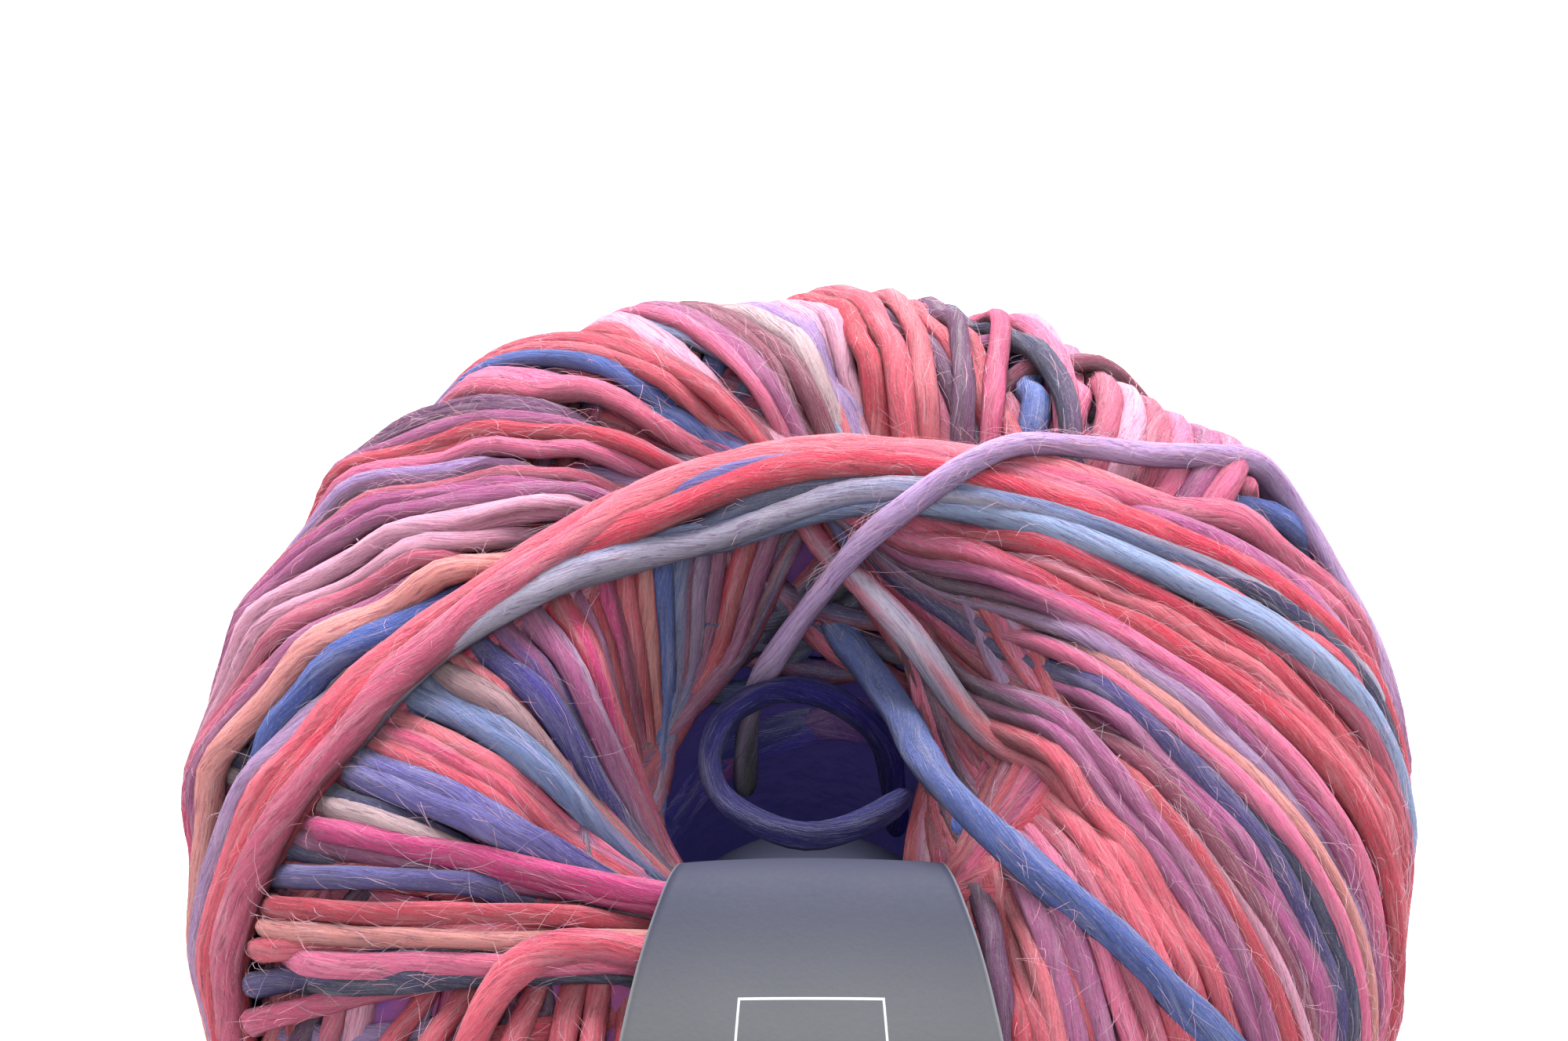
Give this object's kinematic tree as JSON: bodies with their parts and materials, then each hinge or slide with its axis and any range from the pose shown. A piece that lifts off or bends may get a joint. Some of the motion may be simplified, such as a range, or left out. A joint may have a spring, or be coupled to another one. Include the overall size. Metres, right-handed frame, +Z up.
{
  "type": "yarn cake",
  "caption": "Doughnut-shaped cake of fluffy space-dyed yarn, wound round an open hole, with a plain paper band through the hole and loose yarn ends.",
  "frame": {"origin": "on the surface the cake lies on, under the middle of its box", "axes": "+Z up along the hole's axis, -Y towards the side with the paper band"},
  "size_m": [0.1328, 0.1323, 0.0868],
  "materials": {
    "rose_yarn": "soft brushed yarn, mostly rose, coral and pink with blue and violet turns",
    "grey_paper": "dark grey coated paper with a soft sheen",
    "lilac_yarn": "soft brushed yarn, lilac",
    "violet_yarn": "soft yarn with a slight shine, deep violet blue"
  },
  "bodies": {
    "root": {"wound_cake": "rose_yarn", "paper_band": "grey_paper", "outer_tail": "lilac_yarn", "inner_tail": "violet_yarn"}
  },
  "joints": []
}
